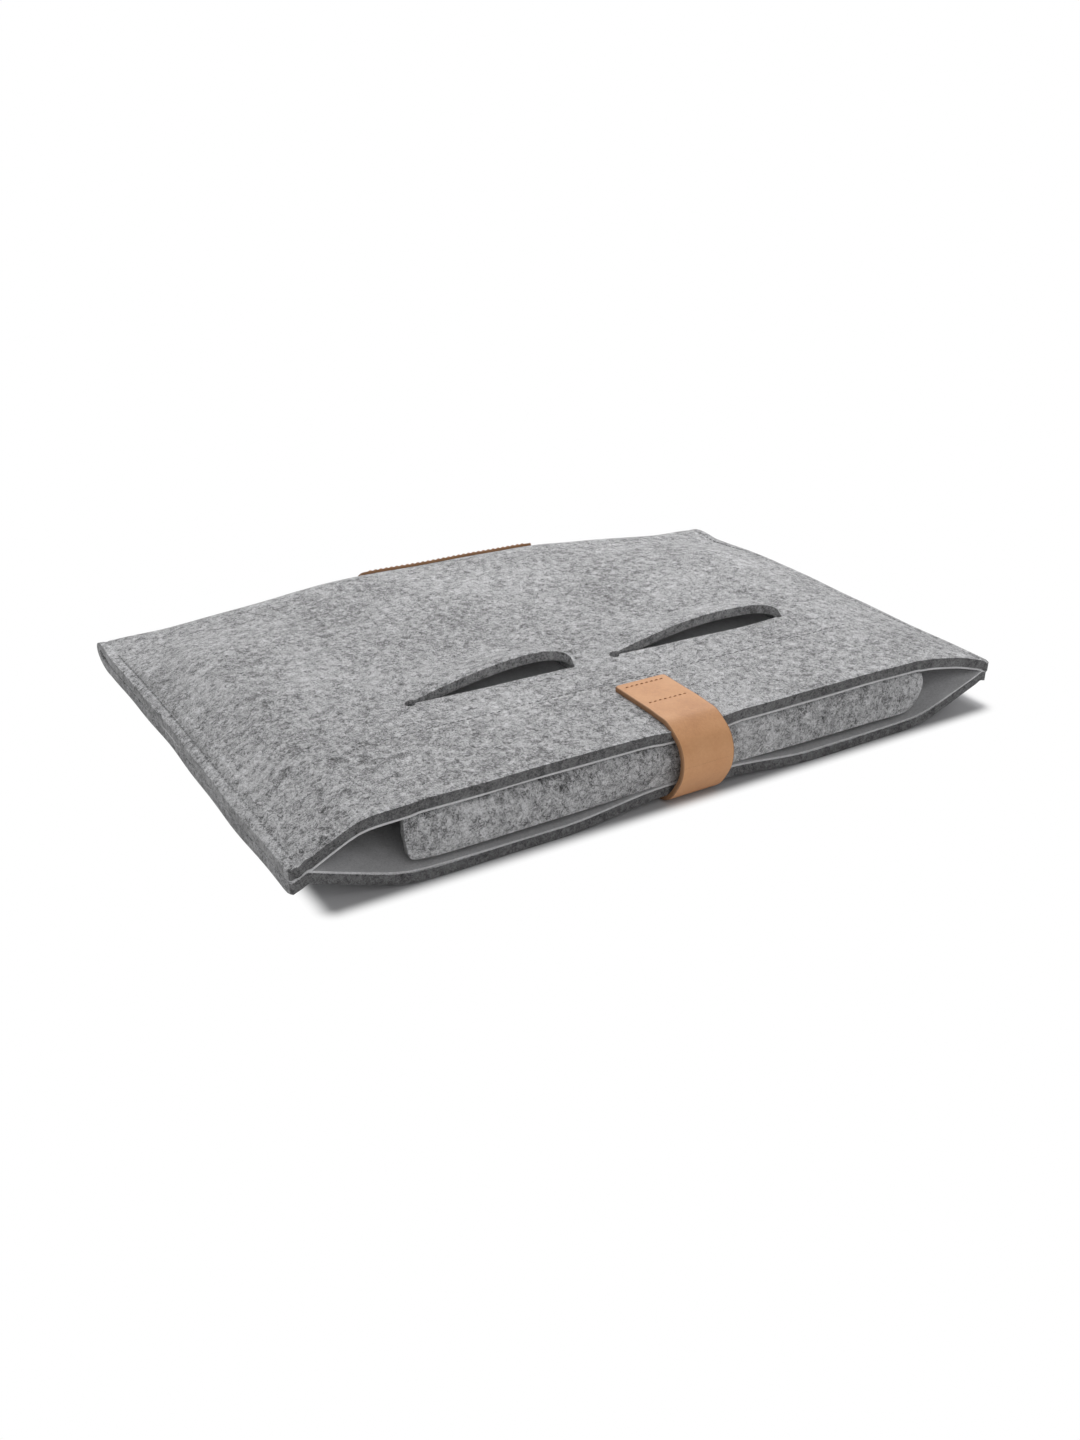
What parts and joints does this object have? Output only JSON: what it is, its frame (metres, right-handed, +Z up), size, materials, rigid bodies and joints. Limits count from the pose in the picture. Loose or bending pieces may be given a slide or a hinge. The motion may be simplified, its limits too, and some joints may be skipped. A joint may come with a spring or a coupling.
{
  "type": "laptop sleeve",
  "caption": "Felt sleeve for a 13-inch laptop, folded at the back and sewn at the sides, with two slit pockets, a tuck flap in the mouth and a leather closing strap.",
  "frame": {"origin": "on the table under the middle of the sleeve, on the flat of the bottom felt", "axes": "+X to the right along the mouth, -Y out of the mouth, +Z up from the table"},
  "size_m": [0.35, 0.2488, 0.042],
  "materials": {
    "felt": "mottled grey wool felt",
    "lining": "light grey napped lining",
    "leather": "tan vegetable-tanned leather, burnished edges",
    "grey_thread": "grey sewing thread",
    "tan_thread": "tan sewing thread",
    "hook_tape": "black hook tape",
    "loop_tape": "black loop tape"
  },
  "bodies": {
    "sleeve": {"front_felt_panel": "felt", "back_felt_panel": "felt", "front_lining": "lining", "back_lining": "lining", "left_pocket_bag": "lining", "right_pocket_bag": "lining", "left_pocket_stitching": "grey_thread", "right_pocket_stitching": "grey_thread", "tuck_flap_anchor": "felt", "tuck_flap_stitching": "grey_thread", "strap_sewn_end": "leather", "strap_stitching": "tan_thread", "loop_patch": "loop_tape", "back_edge_trim": "leather", "trim_stitching": "tan_thread", "left_side_stitching": "grey_thread", "right_side_stitching": "grey_thread"},
    "strap": {"strap_wrap": "leather"},
    "strap_tail": {"strap_tail": "leather", "hook_patch": "hook_tape"},
    "tuck_flap": {"tuck_flap_lip": "felt"}
  },
  "joints": [
    {"name": "strap_swing", "type": "hinge", "parent": "sleeve", "child": "strap", "pos_m": [0, -0.1177, 0.0352], "axis": [-1, 0, 0], "range_deg": [0, 160]},
    {"name": "tail_peel", "type": "hinge", "parent": "strap", "child": "strap_tail", "pos_m": [0, -0.12296, 0.00808], "axis": [-1, 0, 0], "range_deg": [0, 64]},
    {"name": "tuck_flap_fold", "type": "hinge", "parent": "sleeve", "child": "tuck_flap", "pos_m": [0, -0.1185, 0.0289], "axis": [-1, 0, 0], "range_deg": [0, 90]}
  ],
  "couplings": [
    {"joint": "tuck_flap_fold", "follows": "strap_swing", "ratio": 0.5625}
  ]
}
